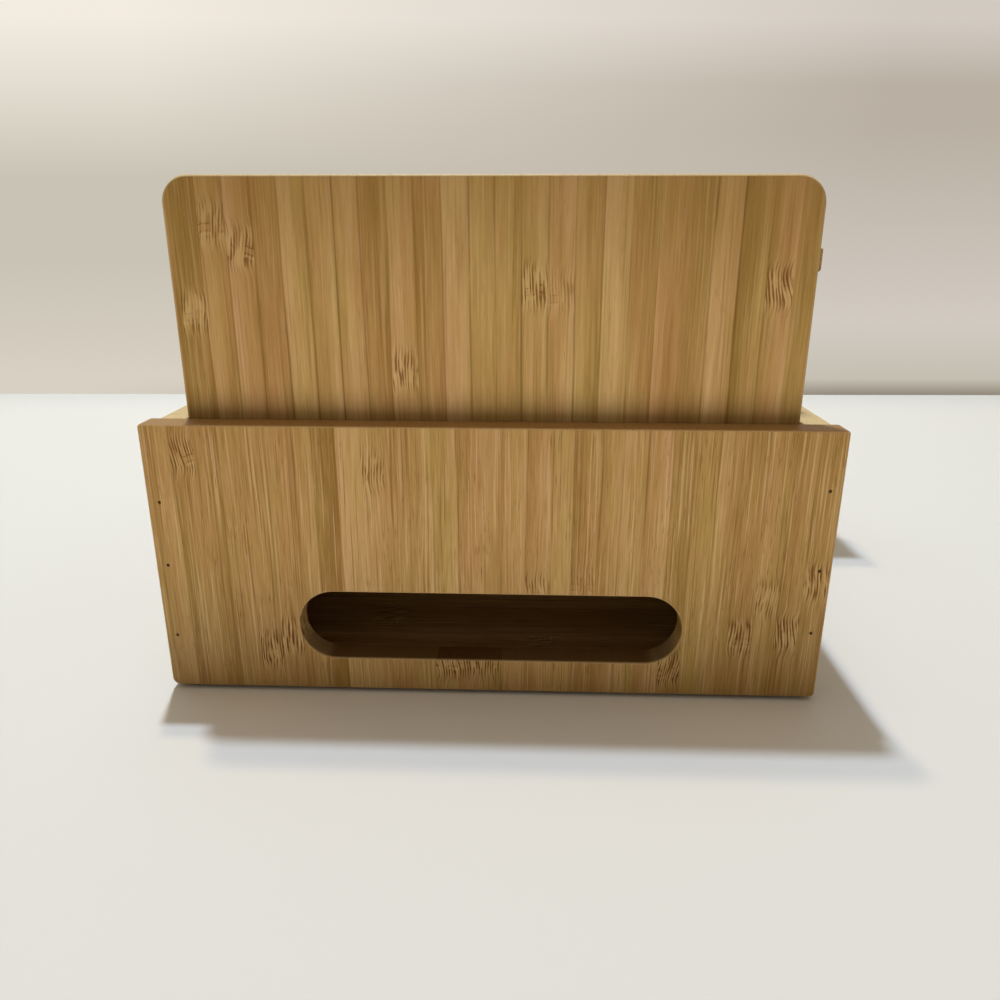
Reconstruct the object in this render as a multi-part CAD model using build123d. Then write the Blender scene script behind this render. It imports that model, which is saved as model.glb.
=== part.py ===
from build123d import *
import os

# Bamboo charging station organizer. Millimetres, +Z up, front towards -Y, back towards +Y.
# The sub-parts are modelled about the box's own centre line and then shifted along X, so that
# the origin lies at the bottom centre of the whole object, with the watch arm counted in.

# Box
box_width = 250.0
box_depth = 220.0
back_height = 105.0
side_drop = 1.8
panel_thickness = 10.0
bottom_thickness = 6.0
pad_height = 1.5
pad_radius = 8.0
pad_inset = 20.0

# Eased edges and corners of the panels
panel_easing = 0.8
back_top_radius = 1.2
back_low_right_radius = 3.0
back_low_left_radius = 2.0
small_easing = 0.5

# Cable slot in the back panel
slot_length = 145.0
slot_height = 27.5
slot_centre_height = 27.3

# Brads that hold the box together
brad_radius = 0.6
brad_length = 28.0
brad_set = 0.6
brad_edge_inset = 4.5
brad_clearance = 0.05
back_right_brad_shares = (0.21, 0.487, 0.723)
back_left_brad_shares = (0.262, 0.502, 0.793)
front_brad_shares = (0.2, 0.5, 0.8)
bottom_brad_shares = (-0.38, 0.0, 0.38)
cleat_brad_length = 15.0
cleat_brad_shares = (-0.4, 0.0, 0.4)

# Cleats that carry the deck
cleat_width = 10.0
cleat_height = 12.0

# Deck
deck_thickness = 10.0
deck_recess = 12.0
deck_clearance = 0.5
deck_easing = 0.5
bay_slot_length = 150.0
bay_slot_width = 9.0
bay_slot_gap = 4.0
front_slot_length = 64.0
front_slot_width = 20.0
front_slot_share = 0.5

# Backboard
board_width = 221.6
board_thickness = 10.0
board_top_height = 188.0
board_corner_radius = 9.5
board_easing = 1.2
rabbet_depth = 3.0
screw_shares = (-0.36, 0.0, 0.36)
screw_length = 26.0
screw_radius = 1.75
screw_head_radius = 3.5
screw_head_height = 2.4
screw_sink = 0.4
screw_clearance = 0.05
driver_recess_length = 4.0
driver_recess_width = 1.0
driver_recess_depth = 1.2

# Dividers
divider_thickness = 8.0
bay_width = 28.0
rear_divider_rise = 78.0
middle_divider_rise = 66.0
front_divider_rise = 54.0
tab_width = 40.0
tab_clearance = 0.15
tab_shares = (-0.3, 0.3)

# Watch stand
arm_reach = 166.5
arm_thickness = 12.3
arm_depth = 38.0
arm_low_height = 150.1
arm_low_end_radius = 2.1
arm_easing = 1.0
post_thickness = 12.0
post_wall_gap = 1.0
post_front_gap = 1.4
post_shoulder = 4.0
puck_radius = 14.3
puck_depth = 4.0
puck_end_margin = 8.0
cord_groove_width = 4.0
cord_groove_depth = 3.5
cord_hole_radius = 7.0
cord_hole_gap = 4.0
dowel_radius = 3.0
dowel_length = 18.0
dowel_in_post = 10.0
dowel_spacing = 22.0
dowel_clearance = 0.05
dowel_end_gap = 0.3

# How far a cutter runs past the surface that it cuts
overrun = 1.0

# Levels, all counted from the desk
base_level = pad_height
side_height = back_height - side_drop
side_top = base_level + side_height
deck_top = side_top - deck_recess
deck_low = deck_top - deck_thickness
board_low = deck_top - rabbet_depth
board_top = base_level + board_top_height
arm_low = base_level + arm_low_height
arm_top = arm_low + arm_thickness

# Faces in plan, about the box's own centre line
inner_half_width = box_width / 2 - panel_thickness
inner_half_depth = box_depth / 2 - panel_thickness
deck_half_width = inner_half_width - deck_clearance
deck_half_depth = inner_half_depth - deck_clearance
board_back_y = deck_half_depth
board_front_y = board_back_y - board_thickness
post_outer_x = post_wall_gap - inner_half_width
post_inner_x = post_outer_x + post_thickness
arm_front_y = post_front_gap - inner_half_depth
arm_back_y = arm_front_y + arm_depth
arm_middle_y = (arm_back_y + arm_front_y) / 2
puck_x = puck_end_margin + puck_radius - arm_reach
divider_back_faces = [
    board_front_y - (index + 1) * bay_width - index * divider_thickness for index in range(3)
]

# The whole object reaches from the arm's end to the right side panel
origin_shift = (arm_reach - box_width / 2) / 2

LOW = Align.MIN
MID = Align.CENTER


def block(x_range, y_range, z_range):
    """Rectangular block between two places on each axis."""
    size = [high - low for low, high in (x_range, y_range, z_range)]
    return Pos(x_range[0], y_range[0], z_range[0]) * Box(*size, align=(LOW, LOW, LOW))


def standing_plane(back_y, low_z):
    """Plane of a board that stands up: X to the right, local Y upwards, cut depth to the front."""
    return Plane(origin=(0, back_y, low_z), x_dir=(1, 0, 0), z_dir=(0, -1, 0))


def standing_outline(width, height, low_left, low_right, top):
    """Outline of a standing board with a radius at each corner; a radius of zero stays square."""
    outline = Rectangle(width, height, align=(MID, LOW))
    half = width / 2
    corners = (
        ((-half, 0), low_left),
        ((half, 0), low_right),
        ((half, height), top),
        ((-half, height), top),
    )
    for place, radius in corners:
        if radius > 0:
            outline = fillet(outline.vertices().sort_by_distance(place)[0], radius)
    return outline


def rods(spots, radius, start, length):
    """Equal round rods, each starting at a distance along the direction of its spot."""
    rod = Pos(0, 0, start) * Cylinder(radius, length, align=(MID, MID, LOW))
    return [Plane(origin=place, z_dir=direction) * rod for place, direction in spots]


def brads(spots, length=brad_length):
    """Headless brads, set a little below the surface that they are driven through."""
    return Compound(rods(spots, brad_radius, brad_set, length))


def brad_holes(spots, length=brad_length):
    """Holes of a row of brads, open to the surface above each brad."""
    return rods(spots, brad_radius + brad_clearance, -overrun, overrun + brad_set + length)


def back_brad_spots():
    """Three brads at each end of the back panel, driven into the ends of the side panels."""
    x = box_width / 2 - brad_edge_inset
    right = [(x, share) for share in back_right_brad_shares]
    left = [(-x, share) for share in back_left_brad_shares]
    return [((px, box_depth / 2, base_level + share * back_height), (0, -1, 0)) for px, share in right + left]


def front_brad_spots():
    """Three brads at each end of the front panel, driven into the ends of the side panels."""
    x = box_width / 2 - brad_edge_inset
    return [
        ((side * x, -box_depth / 2, base_level + share * side_height), (0, 1, 0))
        for side in (-1, 1)
        for share in front_brad_shares
    ]


def bottom_brad_spots():
    """Brads through the side panels into the edges of the bottom board."""
    z = base_level + bottom_thickness / 2
    return [
        ((side * box_width / 2, share * box_depth, z), (-side, 0, 0))
        for side in (-1, 1)
        for share in bottom_brad_shares
    ]


def cleat_brad_spots():
    """Brads through the side cleats into the side panels."""
    z = deck_low - cleat_height / 2
    x = inner_half_width - cleat_width
    return [
        ((side * x, share * 2 * inner_half_depth, z), (side, 0, 0))
        for side in (-1, 1)
        for share in cleat_brad_shares
    ]


def screw_spots():
    """Screws up through the deck into the foot of the backboard."""
    y = board_back_y - board_thickness / 2
    return [((share * board_width, y, deck_low), (0, 0, 1)) for share in screw_shares]


def back_panel():
    """Back panel with its cable slot; it covers the ends of both side panels."""
    outline = standing_outline(
        box_width, back_height, back_low_left_radius, back_low_right_radius, back_top_radius
    )
    slot = Pos(0, slot_centre_height) * SlotOverall(slot_length, slot_height)
    panel = extrude(standing_plane(box_depth / 2, base_level) * (outline - slot), amount=panel_thickness)
    panel = fillet(panel.faces().sort_by(Axis.Y)[-1].edges(), panel_easing)
    return panel - brad_holes(back_brad_spots())


def front_panel():
    """Front panel, as high as the side panels, covering their ends."""
    outline = standing_outline(
        box_width, side_height, back_low_left_radius, back_low_left_radius, back_top_radius
    )
    panel = extrude(
        standing_plane(panel_thickness - box_depth / 2, base_level) * outline, amount=panel_thickness
    )
    panel = fillet(panel.faces().sort_by(Axis.Y)[0].edges(), panel_easing)
    return panel - brad_holes(front_brad_spots())


def side_panel(side):
    """Side panel between the front and back panels; side is -1 at the left and 1 at the right."""
    outer = side * box_width / 2
    inner = side * inner_half_width
    panel = block(
        (min(outer, inner), max(outer, inner)),
        (-inner_half_depth, inner_half_depth),
        (base_level, side_top),
    )
    top_edges = panel.faces().sort_by(Axis.Z)[-1].edges().filter_by(Axis.Y)
    panel = fillet(top_edges, panel_easing)
    spots = back_brad_spots() + front_brad_spots() + bottom_brad_spots()
    return panel - brad_holes(spots) - brad_holes(cleat_brad_spots(), cleat_brad_length)


def bottom_board():
    """Bottom board, let in between the four walls and level with their lower edges."""
    board = block(
        (-inner_half_width, inner_half_width),
        (-inner_half_depth, inner_half_depth),
        (base_level, base_level + bottom_thickness),
    )
    return board - brad_holes(bottom_brad_spots())


def side_cleat(side):
    """Strip along a side panel that carries the deck."""
    outer = side * inner_half_width
    inner = side * (inner_half_width - cleat_width)
    cleat = block(
        (min(outer, inner), max(outer, inner)),
        (-inner_half_depth, inner_half_depth),
        (deck_low - cleat_height, deck_low),
    )
    low_edge = cleat.edges().filter_by(Axis.Y).sort_by_distance((inner, 0, deck_low - cleat_height))[0]
    cleat = fillet(low_edge, small_easing)
    return cleat - brad_holes(cleat_brad_spots(), cleat_brad_length)


def end_cleat(end):
    """Strip along the front or back panel, between the side cleats; end is -1 at the front."""
    outer = end * inner_half_depth
    inner = end * (inner_half_depth - cleat_width)
    half = inner_half_width - cleat_width
    cleat = block(
        (-half, half), (min(outer, inner), max(outer, inner)), (deck_low - cleat_height, deck_low)
    )
    low_edge = cleat.edges().filter_by(Axis.X).sort_by_distance((0, inner, deck_low - cleat_height))[0]
    return fillet(low_edge, small_easing)


def foot_pads():
    """Four round pads under the corners of the box."""
    x = box_width / 2 - pad_inset
    y = box_depth / 2 - pad_inset
    spots = [((sx * x, sy * y, 0), (0, 0, 1)) for sx in (-1, 1) for sy in (-1, 1)]
    return Compound(rods(spots, pad_radius, 0, pad_height))


def screw():
    """Countersunk wood screw with a cross recess, its head at z zero and its shank upwards."""
    head = Cone(screw_head_radius, screw_radius, screw_head_height, align=(MID, MID, LOW))
    shank_length = screw_length - screw_head_height
    tip_height = 2 * screw_radius
    shank = Pos(0, 0, screw_head_height) * Cylinder(
        screw_radius, shank_length - tip_height, align=(MID, MID, LOW)
    )
    tip = Pos(0, 0, screw_length - tip_height) * Cone(
        screw_radius, screw_radius / 3, tip_height, align=(MID, MID, LOW)
    )
    cut = Box(driver_recess_length, driver_recess_width, 2 * driver_recess_depth)
    return head + shank + tip - cut - Rot(0, 0, 90) * cut


def screw_cutters():
    """Countersunk holes of the backboard screws, a little larger than the screws."""
    wide = screw_head_radius + screw_clearance
    narrow = screw_radius + screw_clearance
    mouth = Pos(0, 0, -overrun) * Cylinder(wide, overrun + screw_sink, align=(MID, MID, LOW))
    cone = Pos(0, 0, screw_sink) * Cone(wide, narrow, screw_head_height, align=(MID, MID, LOW))
    shank = Pos(0, 0, screw_sink) * Cylinder(narrow, screw_length, align=(MID, MID, LOW))
    cutter = mouth + cone + shank
    return [Pos(*place) * cutter for place, _ in screw_spots()]


def backboard_screws():
    """The screws that hold the backboard to the deck, from below."""
    return Compound([Pos(*place) * Pos(0, 0, screw_sink) * screw() for place, _ in screw_spots()])


def rising_easing(board, low_z, radius):
    """Round over the long edges of a standing board above a level, on both of its faces."""
    faces = board.faces().sort_by(Axis.Y)
    edges = [
        edge
        for face in (faces[0], faces[-1])
        for edge in face.edges()
        if edge.center().Z > low_z + radius
    ]
    return fillet(edges, radius)


def backboard():
    """Tall backboard with rounded top corners, its foot in the rabbet at the deck's back edge."""
    height = board_top - board_low
    outline = standing_outline(board_width, height, 0, 0, board_corner_radius)
    board = extrude(standing_plane(board_back_y, board_low) * outline, amount=board_thickness)
    return rising_easing(board, board_low, board_easing) - screw_cutters()


def tab_centres():
    """Places of the two tabs under each divider, along X."""
    return [share * board_width for share in tab_shares]


def divider(back_y, rise):
    """Divider with rounded top corners and two tabs that drop into the deck."""
    outline = standing_outline(board_width, rise, 0, 0, board_corner_radius)
    board = extrude(standing_plane(back_y, deck_top) * outline, amount=divider_thickness)
    board = rising_easing(board, deck_top, board_easing)
    tabs = [
        block(
            (x - tab_width / 2, x + tab_width / 2),
            (back_y - divider_thickness + tab_clearance, back_y - tab_clearance),
            (deck_low, deck_top),
        )
        for x in tab_centres()
    ]
    return board + tabs


def tab_mortises():
    """Holes through the deck for the tabs of every divider."""
    half = tab_width / 2 + tab_clearance
    return [
        block(
            (x - half, x + half),
            (back_y - divider_thickness, back_y),
            (deck_low - overrun, deck_top + overrun),
        )
        for back_y in divider_back_faces
        for x in tab_centres()
    ]


def flat_slot(centre_y, length, width):
    """Cutter of a slot with round ends through the deck, along X."""
    depth = deck_thickness + 2 * overrun
    return extrude(Pos(0, centre_y, deck_low - overrun) * SlotOverall(length, width), amount=depth)


def cable_slots():
    """One cable slot behind each divider, and a wider one in the front tray that takes a finger."""
    centres = [y + bay_slot_gap + bay_slot_width / 2 for y in divider_back_faces]
    slots = [flat_slot(y, bay_slot_length, bay_slot_width) for y in centres]
    tray_back = divider_back_faces[-1] - divider_thickness
    tray_middle = tray_back + front_slot_share * (-deck_half_depth - tray_back)
    return slots + [flat_slot(tray_middle, front_slot_length, front_slot_width)]


def post_mortise(clearance):
    """Block through the deck in which the watch post's tenon stands."""
    return block(
        (post_outer_x - clearance, post_inner_x + clearance),
        (arm_front_y + post_shoulder - clearance, arm_back_y - post_shoulder + clearance),
        (deck_low, deck_top),
    )


def watch_cord_hole():
    """Round hole through the deck beside the watch post, for the watch charger's cord."""
    x = post_inner_x + cord_hole_gap + cord_hole_radius
    hole = Cylinder(cord_hole_radius, deck_thickness + 2 * overrun, align=(MID, MID, LOW))
    return Pos(x, arm_middle_y, deck_low - overrun) * hole


def deck():
    """Lift-off deck: mortises for dividers and post, cable slots, and the backboard's rabbet."""
    plate = block(
        (-deck_half_width, deck_half_width), (-deck_half_depth, deck_half_depth), (deck_low, deck_top)
    )
    plate -= cable_slots()
    plate -= watch_cord_hole()
    plate = fillet(plate.faces().sort_by(Axis.Z)[-1].edges(), deck_easing)
    half_board = board_width / 2 + tab_clearance
    plate -= block(
        (-half_board, half_board),
        (board_front_y, board_back_y + overrun),
        (board_low, deck_top + overrun),
    )
    plate -= tab_mortises()
    plate -= post_mortise(tab_clearance)
    return plate - screw_cutters()


def dowel_spots():
    """Places of the two dowels between post and arm, at the foot of their holes in the post."""
    x = (post_outer_x + post_inner_x) / 2
    return [
        ((x, arm_middle_y + side * dowel_spacing / 2, arm_low - dowel_in_post), (0, 0, 1))
        for side in (-1, 1)
    ]


def dowel_holes():
    """Holes of the two dowels, with a little room above each."""
    return rods(dowel_spots(), dowel_radius + dowel_clearance, 0, dowel_length + dowel_end_gap)


def watch_post():
    """Post of the watch stand, with its tenon and a groove for the cord on its inner face."""
    post = block((post_outer_x, post_inner_x), (arm_front_y, arm_back_y), (deck_top, arm_low))
    post = fillet(post.edges().filter_by(Axis.Z), arm_easing)
    groove = block(
        (post_inner_x - cord_groove_depth, post_inner_x + overrun),
        (arm_middle_y - cord_groove_width / 2, arm_middle_y + cord_groove_width / 2),
        (deck_top - overrun, arm_low + overrun),
    )
    return post + post_mortise(0) - groove - dowel_holes()


def watch_arm():
    """Arm that reaches out past the left side, with a seat for a watch charger in its top."""
    arm = block((-arm_reach, post_inner_x), (arm_front_y, arm_back_y), (arm_low, arm_top))
    low_end = arm.edges().filter_by(Axis.Y).sort_by_distance((-arm_reach, arm_middle_y, arm_low))[0]
    arm = fillet(low_end, arm_low_end_radius)
    top_edges = arm.faces().sort_by(Axis.Z)[-1].edges()
    arm = fillet(top_edges, arm_easing)
    seat = Pos(puck_x, arm_middle_y, arm_top - puck_depth) * Cylinder(
        puck_radius, puck_depth + overrun, align=(MID, MID, LOW)
    )
    groove = block(
        (puck_x, post_inner_x + overrun),
        (arm_middle_y - cord_groove_width / 2, arm_middle_y + cord_groove_width / 2),
        (arm_top - cord_groove_depth, arm_top + overrun),
    )
    drop = block(
        (post_inner_x - cord_groove_depth, post_inner_x + overrun),
        (arm_middle_y - cord_groove_width / 2, arm_middle_y + cord_groove_width / 2),
        (arm_low - overrun, arm_top + overrun),
    )
    return arm - seat - groove - drop - dowel_holes()


def watch_arm_dowels():
    """Two dowels that pin the arm to the post."""
    return Compound(rods(dowel_spots(), dowel_radius, 0, dowel_length))


def all_parts():
    """Every sub-part under its node name, about the box's own centre line."""
    rises = (rear_divider_rise, middle_divider_rise, front_divider_rise)
    names = ("rear_divider", "middle_divider", "front_divider")
    dividers = {
        name: divider(back_y, rise) for name, back_y, rise in zip(names, divider_back_faces, rises)
    }
    return {
        "back_panel": back_panel(),
        "front_panel": front_panel(),
        "left_side_panel": side_panel(-1),
        "right_side_panel": side_panel(1),
        "bottom_board": bottom_board(),
        "left_cleat": side_cleat(-1),
        "right_cleat": side_cleat(1),
        "front_cleat": end_cleat(-1),
        "back_cleat": end_cleat(1),
        "foot_pads": foot_pads(),
        "back_brads": brads(back_brad_spots()),
        "front_brads": brads(front_brad_spots()),
        "bottom_brads": brads(bottom_brad_spots()),
        "cleat_brads": brads(cleat_brad_spots(), cleat_brad_length),
        "deck": deck(),
        "backboard": backboard(),
        "backboard_screws": backboard_screws(),
        **dividers,
        "watch_post": watch_post(),
        "watch_arm": watch_arm(),
        "watch_arm_dowels": watch_arm_dowels(),
    }


def main():
    """Write every sub-part to its own STEP file, with the origin at the bottom centre."""
    os.makedirs("parts", exist_ok=True)
    for name, shape in all_parts().items():
        export_step(Pos(origin_shift, 0, 0) * shape, f"parts/{name}.step")


main()
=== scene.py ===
"""Looks of a bamboo charging station organizer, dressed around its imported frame.

The camera stands behind the object, where the back panel with its cable slot and the tall
backboard show. Names that end in _mm hold millimetres; every other length is in metres.
"""

from __future__ import annotations

import logging
import math
import random
from dataclasses import dataclass, field, replace
from enum import Enum
from typing import Any, Mapping, Sequence

import bmesh
import bpy
from mathutils import Matrix, Vector

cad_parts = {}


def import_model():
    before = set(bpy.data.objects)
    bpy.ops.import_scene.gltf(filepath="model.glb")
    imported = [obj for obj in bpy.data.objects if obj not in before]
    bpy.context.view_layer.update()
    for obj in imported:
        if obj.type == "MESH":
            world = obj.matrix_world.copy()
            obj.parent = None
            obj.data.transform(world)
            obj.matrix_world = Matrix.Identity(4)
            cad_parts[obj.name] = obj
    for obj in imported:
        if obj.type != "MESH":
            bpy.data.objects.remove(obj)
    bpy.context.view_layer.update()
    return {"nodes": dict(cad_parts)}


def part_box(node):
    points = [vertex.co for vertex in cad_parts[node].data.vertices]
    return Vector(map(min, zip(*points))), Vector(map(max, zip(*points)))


LOG = logging.getLogger("organizer")
MM = 0.001
MM_PER_METRE = 1000.0
# Colour ramps hold values up to one, so heights of knuckles are kept as shares of this height.
KNUCKLE_SCALE_MM = 250.0
# Settings of a range node that eases in and out at its ends.
EASED = {"interpolation_type": "SMOOTHSTEP"}
# How far a pattern moves along each axis for one step of its start.
PATTERN_STEPS = (1.7, 3.1, 0.9)
# How often each tone comes up, from dark to pale, on boards that the photograph doesn't show.
TONE_WEIGHTS = (1, 3, 4, 4, 2)
# How strongly the knuckles of such boards show: half of their strips have none.
KNUCKLE_STRENGTHS = (0.0, 0.0, 0.6, 1.0)
# Tones at which a strip has its dusky, its even and its pale colour.
TONE_STOPS = (0.05, 0.5, 0.95)
Colour = tuple[float, float, float, float]


def linear(code: str) -> Colour:
    """Turn an sRGB hex colour into linear values.

    Args:
        code: The colour as "#rrggbb".

    Returns:
        Linear red, green and blue, and an alpha of one.
    """
    shares = [int(code[start : start + 2], 16) / 255 for start in (1, 3, 5)]
    red, green, blue = (s / 12.92 if s <= 0.04045 else ((s + 0.055) / 1.055) ** 2.4 for s in shares)
    return (red, green, blue, 1.0)


@dataclass(frozen=True)
class Ramp:
    """Stops of a colour ramp, from low to high, and how it goes from one to the next."""

    stops: Sequence[tuple[float, Colour]]
    interpolation: str = "LINEAR"


def add_node(
    tree: bpy.types.NodeTree,
    kind: str,
    links: Mapping[str | int, Any] | None = None,
    ramp: Ramp | None = None,
    **settings: Any,
) -> bpy.types.Node:
    """Add one shader node with its settings, its links or values, and any ramp.

    Args:
        tree: The node tree that gets the node.
        kind: The node's type without its ShaderNode prefix.
        links: What goes into each input: a node, whose first output is taken, a socket or a value.
        ramp: The stops of a colour ramp node.
        **settings: The node's own properties.

    Returns:
        The new node.
    """
    node = tree.nodes.new("ShaderNode" + kind)
    for name, value in settings.items():
        setattr(node, name, value)
    for key, value in (links or {}).items():
        if isinstance(value, bpy.types.Node):
            tree.links.new(value.outputs[0], node.inputs[key])
        elif isinstance(value, bpy.types.NodeSocket):
            tree.links.new(value, node.inputs[key])
        else:
            node.inputs[key].default_value = value
    if ramp:
        node.color_ramp.interpolation = ramp.interpolation
        elements = node.color_ramp.elements
        elements.remove(elements[1])
        elements[0].position, elements[0].color = ramp.stops[0]
        for position, colour in ramp.stops[1:]:
            elements.new(position).color = colour
    return node


def new_material(name: str) -> tuple[bpy.types.Material, bpy.types.NodeTree]:
    """Make a material with an empty node tree.

    Args:
        name: The material's name.

    Returns:
        The material and its node tree.
    """
    material = bpy.data.materials.new(name)
    material.use_nodes = True
    material.node_tree.nodes.clear()
    return material, material.node_tree


class Grain(Enum):
    """Axes that run across the strips, through the board and along the fibres."""

    STANDING_FACING_BACK = ("X", "Y", "Z")
    STANDING_FACING_SIDE = ("Y", "X", "Z")
    LYING_CROSSWISE = ("Y", "Z", "X")
    LYING_LENGTHWISE = ("X", "Z", "Y")


class Tone(Enum):
    """How dark one bamboo strip is, from nought to one."""

    DARK = 0.12
    DUSKY = 0.32
    EVEN = 0.48
    FAIR = 0.61
    PALE = 0.78


@dataclass(frozen=True)
class Strip:
    """One glued strip of a board, with the height of its knuckle where it has one."""

    tone: Tone
    knuckle_mm: float = 0.0
    strength: float = 0.0


def chosen_strips(count: int, seed: int, low_mm: float, high_mm: float) -> tuple[Strip, ...]:
    """Pick the strips of a board that the photograph doesn't show.

    Args:
        count: How many strips the board has.
        seed: Start of the random draws, so that every run is the same.
        low_mm: Lowest place of a knuckle along the fibres.
        high_mm: Highest place of a knuckle along the fibres.

    Returns:
        The strips, in the order of the axis that runs across them.
    """
    draw = random.Random(seed)
    strips = []
    for _ in range(count):
        tone = draw.choices(list(Tone), weights=TONE_WEIGHTS)[0]
        strength = draw.choice(KNUCKLE_STRENGTHS)
        strips.append(Strip(tone, draw.uniform(low_mm, high_mm), strength))
    return tuple(strips)


@dataclass(frozen=True)
class Board:
    """A bamboo piece of the object: its node, how its fibres run and the strips it is made of."""

    node: str
    grain: Grain
    strip_mm: float
    first_mm: float
    seed: int
    strips: tuple[Strip, ...] = ()

    def span(self) -> tuple[float, float, float, float]:
        """Measure the board across its strips and along its fibres.

        Returns:
            Its start and end across its strips, then its start and end along its fibres, in mm.
        """
        low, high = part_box(self.node)
        across, _, along = ("XYZ".index(axis) for axis in self.grain.value)
        values = (low[across], high[across], low[along], high[along])
        return tuple(value * MM_PER_METRE for value in values)

    def start_mm(self) -> float:
        """Give where the first whole strip would start if the board were not cut there."""
        return self.span()[0] + self.first_mm - self.strip_mm

    def all_strips(self) -> tuple[Strip, ...]:
        """Give the strips as photographed, or chosen ones for a board that doesn't show.

        Returns:
            The strips, in the order of the axis that runs across them.
        """
        start, end, low, high = self.span()
        count = math.ceil((end - self.start_mm()) / self.strip_mm)
        return self.strips or chosen_strips(count, self.seed, low, high)


@dataclass(frozen=True)
class Pattern:
    """Noise stretched along the fibres: where it starts, its size both ways and its detail."""

    start: float
    across_mm: float
    along_mm: float
    detail: float = 2.0


# Patterns of glued cane, sized in millimetres across and along the fibres. Real fibre bundles are
# 0.2 to 0.4 mm across; the finest patterns are twice as coarse, because finer ones don't show.
SEAM_SWAY = Pattern(0.0, 40.0, 150.0)
SEAM_PATCHES = Pattern(0.5, 3.0, 45.0)
FIBRE_SWAY = Pattern(2.0, 12.0, 90.0)
KNUCKLE_SWIRL = Pattern(3.0, 6.0, 18.0, 0.0)
HUE_DRIFT = Pattern(8.0, 7.0, 50.0, 1.0)
FIBRE_LINES = Pattern(9.0, 0.7, 60.0, 1.0)
TICKS = Pattern(10.0, 0.5, 7.0, 1.0)
TICK_GROUPS = Pattern(11.0, 6.0, 30.0)
KNUCKLE_HAIRS = Pattern(12.0, 1.2, 9.0)
BAR_RIPPLE = Pattern(13.0, 4.0, 60.0, 0.0)
BAR_PATCHES = Pattern(14.0, 2.5, 9.0)
KNUCKLE_CORE = Pattern(15.0, 2.2, 14.0, 1.0)


@dataclass
class Fibres:
    """Sockets that every part of the bamboo's node tree reads, in millimetres of the real board."""

    tree: bpy.types.NodeTree
    board: Board
    place: bpy.types.Node
    across: bpy.types.NodeSocket
    along: bpy.types.NodeSocket
    facing_end: bpy.types.Node
    rounded: bpy.types.Node

    def add(
        self, kind: str, links: Mapping[str | int, Any], ramp: Ramp | None = None, **settings: Any
    ) -> bpy.types.Node:
        """Add one node to the board's own tree, as add_node does."""
        return add_node(self.tree, kind, links, ramp, **settings)

    def streaks(self, pattern: Pattern, aside: Any = 0.0) -> bpy.types.Node:
        """Draw a pattern of the board, which starts elsewhere on every board.

        Args:
            pattern: The pattern.
            aside: How far the fibres are bent aside, in mm.

        Returns:
            The noise node.
        """
        moved = self.add("CombineXYZ", {0: aside})
        place = self.add("VectorMath", {0: self.place, 1: moved}, operation="ADD")
        start = self.board.seed + pattern.start
        links = {
            0: place,
            1: (1 / pattern.across_mm, 1 / pattern.across_mm, 1 / pattern.along_mm),
            2: tuple(start * step for step in PATTERN_STEPS),
        }
        place = self.add("VectorMath", links, operation="MULTIPLY_ADD")
        links = {"Vector": place, "Scale": 1.0, "Detail": pattern.detail, "Roughness": 0.55}
        return self.add("TexNoise", links)


@dataclass
class Strips:
    """What a point's own strip says: its table entry, place in the strip, draws and glue seam."""

    tone: bpy.types.NodeSocket
    knuckle: bpy.types.NodeSocket
    strength: bpy.types.NodeSocket
    share: bpy.types.Node
    draws: Sequence[bpy.types.NodeSocket]
    seam: bpy.types.Node
    gutter: bpy.types.Node


@dataclass
class Knuckle:
    """How near a point is to its strip's knuckle, its height above it and how fibres bend there."""

    near: bpy.types.Node
    height: bpy.types.Node
    bend: bpy.types.Node


@dataclass
class Wood:
    """The colour and the relief, as the layers of the wood build them up."""

    colour: bpy.types.NodeSocket
    relief: bpy.types.Node

    def draw(self, fibres: Fibres, mask: Any, weight: float, code: str, sink: float = 1.0) -> None:
        """Draw marks of one colour and let them into the relief.

        Args:
            fibres: The board's sockets.
            mask: Where the marks are.
            weight: How strongly they show.
            code: Their colour.
            sink: How deep they lie; below nought they stand out.
        """
        amount = fibres.add("Math", {0: mask, 1: weight}, operation="MULTIPLY")
        links = {0: amount, 6: self.colour, 7: linear(code)}
        self.colour = fibres.add("Mix", links, data_type="RGBA").outputs[2]
        links = {0: amount, 1: -sink, 2: self.relief}
        self.relief = fibres.add("Math", links, operation="MULTIPLY_ADD")


@dataclass(frozen=True)
class Layer:
    """One layer of the grain: its pattern, its weight, and whether it bends round knuckles."""

    pattern: Pattern
    weight: float
    bends: bool = True


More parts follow.
